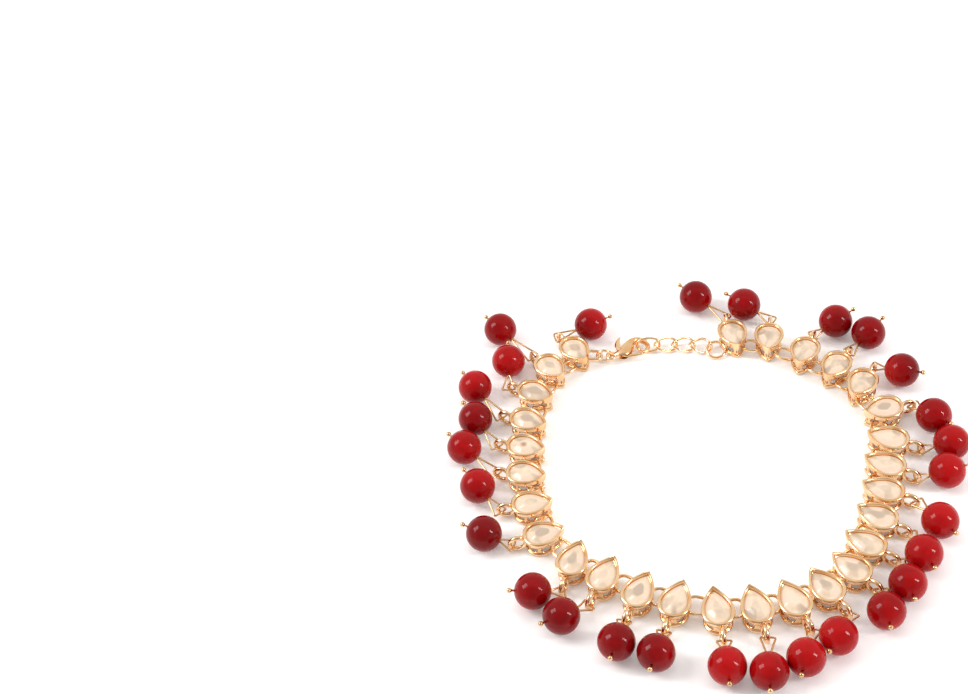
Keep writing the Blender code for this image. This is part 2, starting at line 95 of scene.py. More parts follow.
# Where each setting and bead lies: steps measured along the route, which is scaled to its length
def placeStations():
    angles, shares = np.array(layout["route"]).T
    curve = smoothLoop(heading(angles) * shares[:, None], 60)
    table = np.array(layout["stations"])
    number, step, aside, turn, swing, reach = table.T
    lengths = np.linalg.norm(np.roll(curve, -1, 0) - curve, axis=1)
    scale = (step.sum() * layout["pitch"] + layout["claspStretch"]) / lengths.sum()
    curve, lengths = curve * scale, lengths * scale
    start = np.concatenate([[0], np.cumsum(lengths)])
    distance = np.concatenate([[0], np.cumsum(step)[:-1]]) * layout["pitch"]
    k = np.searchsorted(start, distance, side="right") - 1
    way = (np.roll(curve, -1, 0) - curve)[k] / lengths[k][:, None]
    outward = np.stack([-way[:, 1], way[:, 0]], 1)
    spot = curve[k] + way * (distance - start[k])[:, None] + outward * (aside * layout["pitch"])[:, None]
    spot += np.array(layout["middle"])
    angle = np.degrees(np.arctan2(outward[:, 1], outward[:, 0])) + turn
    hang = spot + heading(angle) * (layout["castCentre"] + layout["castRadius"])
    bead = hang + heading(angle + swing) * (reach * layout["beadDiameter"])[:, None]
    order = np.argsort(number)
    return {"spot": spot[order], "angle": angle[order], "hang": hang[order], "bead": bead[order]}


mending = {"merge": 2e-7, "sliver": 1e-7}            # metres


# Grids of points become one closed mesh: each grid is (copies, around, along, xyz)
def surfaceObject(name, grids, material, sharp=35, body="anklet", facetShades=None):
    points, quads, base = [], [], 0
    for grid, wrapU, wrapV in grids:
        copies, nu, nv = grid.shape[:3]
        i = np.arange(nu if wrapU else nu - 1)
        j = np.arange(nv if wrapV else nv - 1)
        i, j = (q.ravel() for q in np.meshgrid(i, j, indexing="ij"))
        ni, nj = (i + 1) % nu, (j + 1) % nv
        one = np.stack([i * nv + j, ni * nv + j, ni * nv + nj, i * nv + nj], 1)
        quads.append((one[None] + (np.arange(copies) * nu * nv)[:, None, None]).reshape(-1, 4) + base)
        points.append(grid.reshape(-1, 3))
        base += copies * nu * nv
    points, quads = np.vstack(points) * mm, np.vstack(quads)
    mesh = bpy.data.meshes.new(name)
    mesh.vertices.add(len(points))
    mesh.vertices.foreach_set("co", points.astype(np.float32).ravel())
    mesh.loops.add(quads.size)
    mesh.loops.foreach_set("vertex_index", quads.astype(np.int32).ravel())
    mesh.polygons.add(len(quads))
    mesh.polygons.foreach_set("loop_start", np.arange(0, quads.size, 4, dtype=np.int32))
    mesh.polygons.foreach_set("loop_total", np.full(len(quads), 4, dtype=np.int32))
    mesh.update(calc_edges=True)
    # painted facet shade for the stones, lighter or darker per facet, kept at each point
    if facetShades is not None:
        attribute = mesh.attributes.new("tone", "FLOAT", "POINT")
        attribute.data.foreach_set("value", facetShades.astype(np.float32).ravel())
    mesh.validate()
    shape = bmesh.new()
    shape.from_mesh(mesh)
    bmesh.ops.remove_doubles(shape, verts=shape.verts, dist=mending["merge"])
    bmesh.ops.dissolve_degenerate(shape, edges=shape.edges, dist=mending["sliver"])
    bmesh.ops.recalc_face_normals(shape, faces=shape.faces)
    shape.to_mesh(mesh)
    shape.free()
    mesh.shade_smooth()
    mesh.set_sharp_from_angle(angle=math.radians(sharp))
    made = bpy.data.objects.new(name, mesh)
    bpy.context.scene.collection.objects.link(made)
    made.data.materials.append(material)
    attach(made, body)
    return made


# Round tube along a path: at each point the section turns about the path's direction, with
# one side kept along the given reference. Radii may differ along the way and may be two, side and rise
def tubeGrid(path, radius, sides, reference, closed):
    path = np.asarray(path, float)
    ahead = np.roll(path, -1, -2) - np.roll(path, 1, -2)
    if not closed:
        ahead[..., 0, :] = path[..., 1, :] - path[..., 0, :]
        ahead[..., -1, :] = path[..., -1, :] - path[..., -2, :]
    ahead /= np.linalg.norm(ahead, axis=-1, keepdims=True) + 1e-12
    rise = reference - (reference * ahead).sum(-1, keepdims=True) * ahead
    rise /= np.linalg.norm(rise, axis=-1, keepdims=True) + 1e-12
    side = np.cross(rise, ahead)
    turn = 2 * np.pi * np.arange(sides) / sides
    radius = np.asarray(radius, float)
    two = radius.ndim and radius.shape[-1] == 2
    wide, high = (radius[..., 0], radius[..., 1]) if two else (radius, radius)
    wide, high = np.broadcast_to(wide, path.shape[:-1]), np.broadcast_to(high, path.shape[:-1])
    return (path[..., None, :] + side[..., None, :] * (wide[..., None] * np.cos(turn))[..., None]
            + rise[..., None, :] * (high[..., None] * np.sin(turn))[..., None])


# Local points of one setting, carried to every setting: turned by its heading, then moved
def carry(local, spot, angle):
    turn = np.radians(angle).reshape(-1, *[1] * (local.ndim - 1))
    x, y, z = local[None, ..., 0], local[None, ..., 1], local[None, ..., 2]
    cx = spot[:, 0].reshape(turn.shape)
    cy = spot[:, 1].reshape(turn.shape)
    return np.stack([cx + x * np.cos(turn) - y * np.sin(turn), cy + x * np.sin(turn) + y * np.cos(turn),
                     np.broadcast_to(z, (len(spot),) + z.shape[1:])], -1)


pear = {"draw": 0.6, "widest": 0.8415}


# Pear outline: along is minus the cosine of the angle. Across is its sine times the sine of half of it
# to a power, which draws the outline in towards the tip, over the widest value that this reaches
def pearPoint(t, inset):
    half = np.abs(np.sin(t / 2))
    across = np.sin(t) * half ** pear["draw"] / pear["widest"]
    x = -np.cos(t) * (layout["settingLength"] / 2 - inset)
    return x, across * (layout["settingWidth"] / 2 - inset)


# Raised towards the tip by the fourth power of how far along it a point lies
def tipLift(x, amount):
    return amount * np.clip(-x / (layout["settingLength"] / 2), 0, 1) ** 4


bezel = {
    # inset and height round the section of the bezel's wall and lip, and how much the tip lifts it
    "section": [(1.05, 2.80, 0), (0.62, 2.76, 0), (0.42, 2.86, 0), (0.30, 3.12, 0.1), (0.16, 3.65, 0.4),
                (0.05, 4.05, 0.7), (0.0, 4.30, 0.85), (0.02, 4.45, 0.9), (0.10, 4.56, 1.0), (0.28, 4.63, 1.0),
                (0.48, 4.65, 1.0), (0.62, 4.60, 1.0), (0.70, 4.49, 1.0), (0.72, 4.30, 0.95),
                (0.75, 3.92, 0.9), (1.10, 3.85, 0.8), (1.15, 3.3, 0.4)],
    "tipLift": 0.95, "around": 96,
}
baseRing = {"inset": 0.78, "height": 0.45, "halfWidth": 0.40, "halfHeight": 0.43, "squareness": 2.6,
            "around": 96, "sides": 14}
gallery = {
    # stretches round the wall from the tip, in degrees, and the window's share of width and half height
    "cells": [(0, 28, 0.36, 0.45), (28, 70, 0.80, 0.84), (70, 114, 0.80, 0.86), (114, 158, 0.80, 0.84),
              (158, 202, 0.01, 0.01), (202, 246, 0.80, 0.84), (246, 290, 0.80, 0.86), (290, 332, 0.80, 0.84),
              (332, 360, 0.36, 0.45)],
    "low": 0.65, "high": 3.1, "outer": 0.72, "inner": 1.05,
    "chamfer": 0.08, "chamferShare": 0.12, "around": 28,
}
stone = {
    "girdle": 0.88, "girdleHeight": 4.0, "softness": 18.0, "around": 72, "rings": 20, "table": 0.58,
    # each facet: the way it faces in degrees, how far out it would meet the girdle, its slope, its painted
    # shade
    "facets": [(14, 3.3, 0.42, 0.62), (64, 2.5, 0.50, 0.55), (112, 2.3, 0.42, 0.72),
               (150, 2.9, 0.34, 0.50), (206, 3.0, 0.36, 0.66), (250, 2.3, 0.46, 0.80),
               (300, 2.5, 0.48, 0.60), (346, 3.3, 0.42, 0.70)],
    # the table's painted shade (darker), the random spread of painted shade between stones, and the tip's
    # lift
    "tableShade": 0.42, "shadeSpread": 0.15, "tipLift": 0.75,
    "ringPower": 0.8, "topAt": 0.5,                # rings closer at the rim, and where they close, along
    "roundOver": 6, "step": 0.12, "stepPower": 12,  # how fast facets and rim step rise from the girdle
    "underside": 3.2, "undersideShare": 0.98,
}


# Bezel: the section's inset and height carried round the pear, raised towards the tip
def bezelGrid():
    t = 2 * np.pi * np.arange(bezel["around"]) / bezel["around"]
    inset, height, lift = np.array(bezel["section"]).T
    x, y = pearPoint(t[:, None], inset[None, :])
    return np.stack([x, y, height[None, :] + tipLift(x, bezel["tipLift"]) * lift[None, :]], -1)


# Base ring: a rounded square section, its cosine and sine drawn to a power, carried round the pear
def baseRingGrid():
    t = 2 * np.pi * np.arange(baseRing["around"]) / baseRing["around"]
    s = 2 * np.pi * np.arange(baseRing["sides"]) / baseRing["sides"]
    power = 2 / baseRing["squareness"]
    inset = baseRing["inset"] - baseRing["halfWidth"] * np.sign(np.cos(s)) * np.abs(np.cos(s)) ** power
    height = baseRing["height"] + baseRing["halfHeight"] * np.sign(np.sin(s)) * np.abs(np.sin(s)) ** power
    x, y = pearPoint(t[:, None], inset[None, :])
    return np.stack([x, y, np.broadcast_to(height[None, :], x.shape)], -1)


# Gallery wall: each stretch is a block with an oval hole, five rows of points round its thickness.
# A row lies on the oval, a little out from it for the chamfer, or on the stretch's edge
def galleryGrid():
    cells = np.array(gallery["cells"])
    u = 2 * np.pi * (np.arange(gallery["around"]) + 0.5) / gallery["around"]
    square = 1 / np.maximum(np.abs(np.cos(u)), np.abs(np.sin(u)))
    middle, half = np.radians(cells[:, :2].mean(1)), np.radians(cells[:, 1] - cells[:, 0]) / 2
    tall = (gallery["high"] - gallery["low"]) / 2
    rows = []
    outer, inner = gallery["outer"], gallery["inner"]
    for share, inset in ((0, outer + gallery["chamfer"]), (gallery["chamferShare"], outer), (1, outer),
                         (1, inner), (0, inner)):
        a = cells[:, 2:3] * np.cos(u) * (1 - share) + square * np.cos(u) * share
        b = cells[:, 3:4] / tall * np.sin(u) * (1 - share) + square * np.sin(u) * share
        x, y = pearPoint(middle[:, None] + half[:, None] * a, inset)
        rows.append(np.stack([x, y, gallery["low"] + tall * (1 + b)], -1))
    return np.stack(rows, 2)


# Stone: rings drawn in from the girdle; the height is the soft least of the facets' planes and the
# table, and the painted shade at each point is the mean of the facets' painted shades, weighted the same way
def stoneGrid():
    t = 2 * np.pi * np.arange(stone["around"]) / stone["around"]
    share = np.linspace(0, 1, stone["rings"]) ** stone["ringPower"]
    x0, y0 = pearPoint(t, stone["girdle"])
    x, y = x0[:, None] * (1 - share) + stone["topAt"] * share, y0[:, None] * (1 - share)
    facing, reach, slope, tone = np.array(stone["facets"]).T
    facing = np.radians(facing)
    planes = slope * (reach - x[..., None] * np.cos(facing) - y[..., None] * np.sin(facing))
    planes = np.concatenate([planes, np.full(x.shape + (1,), stone["table"])], -1)
    k = stone["softness"]
    weight = np.exp(-k * planes)
    height = -np.log(weight.sum(-1)) / k
    height = (np.clip(height, 0, None) * (1 - (1 - share) ** stone["roundOver"])
              + stone["step"] * (1 - (1 - share) ** stone["stepPower"]))
    rise = tipLift(x0, stone["tipLift"])[:, None] * (1 - share)
    top = np.stack([x, y, stone["girdleHeight"] + rise + height], -1)
    inner, low = stone["undersideShare"], stone["underside"]
    under = np.stack([x0 * inner, y0 * inner, np.full(x0.shape, low)], -1)[:, None]
    centre = np.broadcast_to(np.array([stone["topAt"], 0, low]), under.shape)
    grid = np.concatenate([centre, under, top], 1)
    # each facet's painted shade, as if it caught more or less light, with a random spread from stone to stone
    spread = np.random.default_rng(7).normal(size=(len(layout["stations"]), 1, 1, len(tone) + 1))
    own = np.append(tone, stone["tableShade"]) + stone["shadeSpread"] * spread
    shade = (own * (weight / weight.sum(-1, keepdims=True))).sum(-1)
    return grid, np.concatenate([shade[:, :, :1], shade[:, :, :1], shade], 2)


castLoop = {"wire": 0.5, "clear": 0.55, "around": 48}


# Cast loop: round wire bent to an upright circle outside the rounded end
def castLoopGrid():
    turn = 2 * np.pi * np.arange(castLoop["around"]) / castLoop["around"]
    path = np.stack([layout["castCentre"] + layout["castRadius"] * np.cos(turn), 0 * turn,
                     layout["castRadius"] + castLoop["clear"] + layout["castRadius"] * np.sin(turn)], -1)
    return tubeGrid(path, castLoop["wire"], wireSides, np.array([0.0, 1.0, 0.0]), True)


jumpRing = {"wire": 0.38, "halfWidth": 1.95, "height": 1.85, "lean": 0.35, "inside": 2.1, "toTips": 1.1,
            "squareness": 0.8, "around": 56}


# Oval ring through two galleries: an ellipse whose cosine and sine are drawn to a power, which squares
# it a little. It rises from its start's height to its end's, and leans to one side
def jumpRingPath(start, end, low, high, halfWidth, lean=0.0):
    turn = 2 * np.pi * np.arange(jumpRing["around"]) / jumpRing["around"]
    middle, along = (start + end) / 2, (end - start) / 2
    across = np.array([-along[1], along[0]]) / np.linalg.norm(along)
    u = np.sign(np.cos(turn)) * np.abs(np.cos(turn)) ** jumpRing["squareness"]
    v = np.sign(np.sin(turn)) * np.abs(np.sin(turn)) ** jumpRing["squareness"]
    flat = middle + along * u[:, None] + across * (v * halfWidth)[:, None]
    return np.concatenate([flat, (low + (high - low) * (u[:, None] + 1) / 2) + lean * v[:, None]], 1)


# One jump ring from each setting to the next, nearer the tips than the settings' middles
def jumpRingGrids(places, pairs):
    paths = []
    for a, b in pairs:
        way = places["spot"][b] - places["spot"][a]
        way = way / np.linalg.norm(way)
        inward = -(heading(places["angle"][a]) + heading(places["angle"][b])) / 2 * jumpRing["toTips"]
        start = places["spot"][a] + way * jumpRing["inside"] + inward
        end = places["spot"][b] - way * jumpRing["inside"] + inward
        paths.append(jumpRingPath(start, end, jumpRing["height"], jumpRing["height"], jumpRing["halfWidth"],
                                  jumpRing["lean"]))
    return tubeGrid(np.array(paths), jumpRing["wire"], wireSides, upward, True)


drop = {"wire": 0.23, "loopHalf": 1.5, "hole": 0.30, "stickOut": 1.15, "head": 0.56, "hangHeight": 2.3,
        "pastLoop": 0.86, "sunk": 0.6, "shoulder": 0.35, "corner": 0.4,
        "legShares": [0.12, 0.35, 0.6, 0.85, 1.0], "bendSteps": 7, "pinSides": 10,
        "stubSides": 16, "stubSunk": 0.9, "neck": 1.1, "neckAngle": 35,
        # how far in the hole's rim and its end lie, then its radius at the end and at the rim
        "holeEdge": 0.06, "holeDepth": 0.3, "holeEnd": 0.22, "holeRim": 0.26,
        "beadAround": 48, "beadAlong": 30}


# A drop's own frame: origin at the bead's middle, first axis along the pin towards the cast loop
def dropFrame(bead, hang):
    radius = layout["beadDiameter"] / 2
    away = np.array([hang[0] - bead[0], hang[1] - bead[1], drop["hangHeight"] - radius])
    reach = np.linalg.norm(away)
    along = away / reach
    across = np.cross([0, 0, 1.0], along)
    across /= np.linalg.norm(across)
    axes = np.stack([along, across, np.cross(along, across)])
    return np.array([bead[0], bead[1], radius]), axes, reach


# Round bead turned about its pin: a circle from hole to hole, its holes dished in
def beadGrid(centre, axes):
    radius = layout["beadDiameter"] / 2
    hole = math.asin(drop["hole"] / radius)
    angle = np.linspace(hole, np.pi - hole, drop["beadAlong"])
    x, r = radius * np.cos(angle), radius * np.sin(angle)
    inward = np.array([drop["holeDepth"], drop["holeDepth"], drop["holeEdge"]])
    dish = np.array([0, drop["holeEnd"], drop["holeRim"]])
    x = np.concatenate([x[0] - inward, x, x[-1] + inward[::-1]])
    r = np.concatenate([dish, r, dish[::-1]])
    around = drop["beadAround"]
    turn = 2 * np.pi * np.arange(around) / around
    local = np.stack([np.broadcast_to(x, (around, len(x))), r * np.cos(turn)[:, None],
                      r * np.sin(turn)[:, None]], -1)
    return (centre + local @ axes)[None]


# Head pin: wire bent into an open triangle with straight legs round the cast loop, and a stub whose
# profile, turned about the pin, ends in a round head
def pinGrids(centre, axes, reach):
    radius = layout["beadDiameter"] / 2
    half, far, corner = drop["loopHalf"], reach + drop["pastLoop"], drop["corner"]
    start, turnIn = np.array([radius - drop["sunk"], 0, 0]), np.array([far - drop["shoulder"], half, 0])
    leg = start + (turnIn - start) * np.array(drop["legShares"])[:, None]
    closing = [(far, half - corner, 0), (far, corner - half, 0)]
    path = smoothLoop(np.vstack([start, leg, closing, leg[::-1] * (1, -1, 1)]), drop["bendSteps"])
    loop = tubeGrid(path, drop["wire"], drop["pinSides"], upward, True)
    head, out = drop["head"], radius + drop["stickOut"]
    angle = np.linspace(math.radians(drop["neckAngle"]), math.pi, 10)
    sunk = radius - drop["stubSunk"]
    x = np.concatenate([[sunk, sunk, out - head * drop["neck"]], out - head * np.cos(angle)])
    r = np.concatenate([[0, drop["wire"], drop["wire"]], head * np.sin(angle)])
    sides = drop["stubSides"]
    turn = 2 * np.pi * np.arange(sides) / sides
    stub = np.stack([np.broadcast_to(-x, (sides, len(x))), r * np.cos(turn)[:, None],
                     r * np.sin(turn)[:, None]], -1)
    return [((centre + loop @ axes)[None], True, True), ((centre + stub @ axes)[None], True, False)]


def nodeMaterial(name):
    material = bpy.data.materials.new(name)
    material.use_nodes = True
    nodes, links = material.node_tree.nodes, material.node_tree.links
    return material, nodes, links, nodes["Principled BSDF"]


gold = {"colour": (0.94, 0.68, 0.42), "warm": (0.86, 0.50, 0.23), "roughness": 0.15, "bump": 0.14}
wireGold = {"colour": (0.80, 0.55, 0.30), "warm": (0.60, 0.34, 0.15), "roughness": 0.20, "bump": 0.10}
plating = {"driftScale": 260, "wearScale": 1400, "wearDetail": 4, "smoother": 0.05, "duller": 0.10,
           "bumpDistance": 0.00004, "warmUpTo": 0.3, "paleFrom": 0.65}


# Polished plated brass: the colour drifts a little between pale and warm, fine wear in the gloss
def goldMaterial(name, finish):
    material, nodes, links, shader = nodeMaterial(name)
    where = nodes.new("ShaderNodeTexCoord")
    broad, fine = nodes.new("ShaderNodeTexNoise"), nodes.new("ShaderNodeTexNoise")
    broad.inputs["Scale"].default_value = plating["driftScale"]
    fine.inputs["Scale"].default_value = plating["wearScale"]
    fine.inputs["Detail"].default_value = plating["wearDetail"]
    ramp = nodes.new("ShaderNodeValToRGB")
    warmStop, paleStop = ramp.color_ramp.elements
    warmStop.position, paleStop.position = plating["warmUpTo"], plating["paleFrom"]
    warmStop.color, paleStop.color = (*finish["warm"], 1), (*finish["colour"], 1)
    rough = nodes.new("ShaderNodeMapRange")
    rough.inputs["To Min"].default_value = finish["roughness"] - plating["smoother"]
    rough.inputs["To Max"].default_value = finish["roughness"] + plating["duller"]
    bump = nodes.new("ShaderNodeBump")
    bump.inputs["Strength"].default_value = finish["bump"]
    bump.inputs["Distance"].default_value = plating["bumpDistance"]
    for noise in (broad, fine):
        links.new(where.outputs["Object"], noise.inputs["Vector"])
    links.new(broad.outputs["Fac"], ramp.inputs["Fac"])
    links.new(ramp.outputs["Color"], shader.inputs["Base Color"])
    links.new(fine.outputs["Fac"], rough.inputs["Value"])
    links.new(rough.outputs["Result"], shader.inputs["Roughness"])
    links.new(broad.outputs["Fac"], bump.inputs["Height"])
    links.new(bump.outputs["Normal"], shader.inputs["Normal"])
    shader.inputs["Metallic"].default_value = 1.0
    return material


glass = {"deep": (0.17, 0.002, 0.003), "middle": (0.26, 0.002, 0.003), "bright": (0.40, 0.004, 0.005),
         "stops": (0.48, 0.68, 0.92), "roughness": 0.05, "specular": 0.18, "density": 1.5,
         "cloudScale": 300, "cloudDetail": 3, "cloudTwist": 1.2, "cloudShare": 0.35, "driftScale": 55,
         "glow": 0.15, "glowReach": (1.0, 0.05, 0.04), "glowScale": 0.002}


# Deep red glass: its depth drifts from bead to bead and in faint clouds inside each, under a smooth skin
def glassMaterial():
    material, nodes, links, shader = nodeMaterial("redGlass")
    where = nodes.new("ShaderNodeTexCoord")
    cloud, drift = nodes.new("ShaderNodeTexNoise"), nodes.new("ShaderNodeTexNoise")
    cloud.inputs["Scale"].default_value = glass["cloudScale"]
    cloud.inputs["Detail"].default_value = glass["cloudDetail"]
    cloud.inputs["Distortion"].default_value = glass["cloudTwist"]
    drift.inputs["Scale"].default_value = glass["driftScale"]
    drift.inputs["Detail"].default_value = 0
    both = nodes.new("ShaderNodeMath")
    both.operation = "MULTIPLY_ADD"
    both.inputs[1].default_value = glass["cloudShare"]
    ramp = nodes.new("ShaderNodeValToRGB")
    stops = ramp.color_ramp.elements
    first, middle, last = glass["stops"]
    stops[0].position, stops[1].position = first, last
    stops[0].color, stops[1].color = (*glass["deep"], 1), (*glass["bright"], 1)
    stops.new(middle).color = (*glass["middle"], 1)
    for noise in (cloud, drift):
        links.new(where.outputs["Object"], noise.inputs["Vector"])
    links.new(cloud.outputs["Fac"], both.inputs[0])
    links.new(drift.outputs["Fac"], both.inputs[2])
    links.new(both.outputs["Value"], ramp.inputs["Fac"])
    links.new(ramp.outputs["Color"], shader.inputs["Base Color"])
    shader.inputs["Roughness"].default_value = glass["roughness"]
    shader.inputs["IOR"].default_value = glass["density"]
    shader.inputs["Specular IOR Level"].default_value = glass["specular"]
    shader.inputs["Subsurface Weight"].default_value = glass["glow"]
    shader.inputs["Subsurface Radius"].default_value = glass["glowReach"]
    shader.inputs["Subsurface Scale"].default_value = glass["glowScale"]
    return material


# cream colours that the facets' painted shade runs through, from a shaded facet to a lit one
pearl = {"facetShades": [(0.28, (0.47, 0.36, 0.27)), (0.42, (0.60, 0.47, 0.35)), (0.58, (0.77, 0.61, 0.45)),
                   (0.80, (0.80, 0.60, 0.48))],
         "stainAt": (-0.0413, 0.0058, 0.0047), "stain": (0.34, 0.13, 0.07),    # brown mark on the fifth stone
         "stainCore": 0.0003, "stainReach": 0.0010, "stainStrength": 0.8,
         "cloudScale": 260, "cloudDetail": 2, "cloudTwist": 0.8, "cloudShare": 0.55, "darker": 0.28,
         "roughness": 0.30, "coat": 0.5, "coatRoughness": 0.10, "glow": 0.10, "glowScale": 0.001}


# Creamy mother of pearl look: painted shade and light on each facet, with soft clouds over it, under a clear
# gloss
def pearlMaterial():
    material, nodes, links, shader = nodeMaterial("creamStone")
    # the facets' painted shade and light, read from the stones' points
    where, tone = nodes.new("ShaderNodeTexCoord"), nodes.new("ShaderNodeAttribute")
    tone.attribute_name = "tone"
    cloud = nodes.new("ShaderNodeTexNoise")
    cloud.inputs["Scale"].default_value = pearl["cloudScale"]
    cloud.inputs["Detail"].default_value = pearl["cloudDetail"]
    cloud.inputs["Distortion"].default_value = pearl["cloudTwist"]
    both = nodes.new("ShaderNodeMath")
    both.operation = "MULTIPLY_ADD"
    both.inputs[1].default_value = pearl["cloudShare"]
    shift = nodes.new("ShaderNodeMath")
    shift.operation = "SUBTRACT"
    shift.inputs[1].default_value = pearl["darker"]
    ramp = nodes.new("ShaderNodeValToRGB")
    stops = ramp.color_ramp.elements
    (stops[0].position, first), (stops[1].position, last) = pearl["facetShades"][0], pearl["facetShades"][-1]
    stops[0].color, stops[1].color = (*first, 1), (*last, 1)
    for position, colour in pearl["facetShades"][1:-1]:
        stops.new(position).color = (*colour, 1)
    away, near = nodes.new("ShaderNodeVectorMath"), nodes.new("ShaderNodeMapRange")
    mix = nodes.new("ShaderNodeMix")
    away.operation = "DISTANCE"
    away.inputs[1].default_value = pearl["stainAt"]
    near.inputs["From Min"].default_value = pearl["stainCore"]
    near.inputs["From Max"].default_value = pearl["stainReach"]
    near.inputs["To Min"].default_value = pearl["stainStrength"]
    near.inputs["To Max"].default_value = 0.0
    mix.data_type = "RGBA"
    mix.inputs["B"].default_value = (*pearl["stain"], 1)
    links.new(where.outputs["Object"], cloud.inputs["Vector"])
    links.new(where.outputs["Object"], away.inputs[0])
    links.new(away.outputs["Value"], near.inputs["Value"])
    links.new(near.outputs["Result"], mix.inputs["Factor"])
    links.new(cloud.outputs["Fac"], both.inputs[0])
    links.new(tone.outputs["Fac"], both.inputs[2])
    links.new(both.outputs["Value"], shift.inputs[0])
    links.new(shift.outputs["Value"], ramp.inputs["Fac"])
    links.new(ramp.outputs["Color"], mix.inputs["A"])
    links.new(mix.outputs["Result"], shader.inputs["Base Color"])
    shader.inputs["Roughness"].default_value = pearl["roughness"]
    shader.inputs["Coat Weight"].default_value = pearl["coat"]
    shader.inputs["Coat Roughness"].default_value = pearl["coatRoughness"]
    shader.inputs["Subsurface Weight"].default_value = pearl["glow"]
    shader.inputs["Subsurface Scale"].default_value = pearl["glowScale"]
    return material


clasp = {
    "heading": 28, "lift": 1.75, "hook": (9.45, 1.0), "eyeRadius": 1.03, "eyeWire": 0.36,
    # along, aside, width, height of the claw from the eye's middle
    "claw": [(0.9, 0.1, 1.3, 1.1), (1.9, 0.35, 2.5, 2.0), (3.2, 0.4, 3.6, 2.4), (4.7, -0.7, 3.1, 2.4),
             (6.3, -1.75, 2.0, 2.2), (8.0, -1.75, 1.5, 1.8), (9.1, -0.6, 1.3, 1.4), (9.3, 0.9, 1.15, 1.15),
             (8.6, 2.1, 1.1, 1.1), (7.7, 2.6, 0.95, 1.0)],
    "gate": [(6.9, 2.75, 0.72, 0.62), (5.3, 2.4, 0.85, 0.64), (3.9, 1.75, 1.2, 0.66), (3.0, 0.8, 1.6, 0.68),
             (2.9, -0.2, 1.5, 0.68)],
    "fin": [(2.9, 0.3, 1.2, 0.68), (2.7, -1.0, 1.3, 0.66), (2.85, -2.4, 1.5, 0.62), (3.6, -3.7, 1.0, 0.55),
            (4.5, -4.6, 0.35, 0.4)],
    # how far back and forward the slot runs, how thick it is, and how far its cutter reaches to each side
    "slot": (1.35, 5.3, 1.3), "cutterReach": 5, "steps": 12, "sides": 20,
}
chain = {
    "length": 6.0, "width": 4.0, "wire": 0.32, "squareness": 0.7, "around": 60,
    "reach": (3.85, 4.2), "lift": 1.6, "hookedRise": 0.3,
    "ringRadius": 2.2, "ringWire": 0.35, "ringLift": 1.1, "ringLean": 15, "ringPlace": (4.56, 1.16),
    "ringAround": 48,
    # way on in degrees, then the roll of a link's far and near end
    "ways": [(165, -30, 85), (175, -25, 75), (180, -15, 70), (185, 60, 60)],
    "hookAt": (-16.3, 1.0),                        # last link's middle from the end ring's middle, as built
}
# The small upright ring in the clasp's eye, and the oval ring from it to the first setting
claspRing = {"radius": 1.7, "wire": 0.35, "height": 2.1, "heading": 5}
firstRing = {"pastClaspRing": 0.67, "inside": 1.65, "low": 2.35, "high": 2.1, "halfWidth": 1.4, "wire": 0.35}


# Along and aside from the eye's middle, turned by the clasp's heading
def claspPoint(table, eye):
    table = np.asarray(table, float)
    turn = math.radians(clasp["heading"])
    u, v = table[..., 0], table[..., 1]
    x = eye[0] + u * math.cos(turn) + v * math.sin(turn)
    y = eye[1] + u * math.sin(turn) - v * math.cos(turn)
    return np.stack([x, y, np.full_like(x, clasp["lift"])], -1)


# A swept bar whose section is an oval of the table's width and height. Each end is rounded off:
# at an angle from its pole the section stands out by its cosine and has the sine of its radius
def barGrid(table, eye):
    full = smoothLoop(table, clasp["steps"], closed=False)
    path = claspPoint(full[:, :2], eye)
    radii = full[:, 2:] / 2
    angle = np.radians([0, 25, 50, 72])[:, None]
    first, last = path[0] - path[1], path[-1] - path[-2]
    first, last = first / np.linalg.norm(first), last / np.linalg.norm(last)
    startPath = path[0] + first * np.cos(angle) * radii[0].mean()
    endPath = path[-1] + last * np.cos(angle[::-1]) * radii[-1].mean()
    path = np.vstack([startPath, path, endPath])
    radii = np.vstack([radii[0] * np.sin(angle), radii, radii[-1] * np.sin(angle[::-1])])
    return tubeGrid(path, radii, clasp["sides"], upward, False)


# Circle about a centre: the cosine along one axis and the sine along the other
def ringPath(centre, axisA, axisB, radius):
    turn = 2 * np.pi * np.arange(chain["ringAround"]) / chain["ringAround"]
    return (np.asarray(centre, float) + radius * (np.cos(turn)[:, None] * np.asarray(axisA, float)
                                                  + np.sin(turn)[:, None] * np.asarray(axisB, float)))


# The end ring hangs from the last setting, and each link's middle is a step along its way from the one
# before. The clasp's eye lies where its hook, drawn from the eye, holds the last link
def placeChain(places):
    angle = places["angle"][-1]
    back, inward = chain["ringPlace"]
    places["endRing"] = places["spot"][-1] + heading(angle + 90) * back - heading(angle) * inward
    centre, places["links"] = places["endRing"], []
    for k, (way, far, near) in enumerate(chain["ways"]):
        centre = centre + heading(way) * chain["reach"][min(k, 1)]
        places["links"].append({"number": 4 - k, "centre": centre, "way": way, "rolls": (near, far),
                                "lift": chain["lift"] + (chain["hookedRise"] if k == 3 else 0)})
    hookReach = claspPoint(clasp["hook"], (0, 0))[:2]
    places["claspEye"] = places["endRing"] + np.array(chain["hookAt"]) - hookReach
    places["claspRing"] = places["claspEye"] - heading(claspRing["heading"]) * claspRing["radius"]


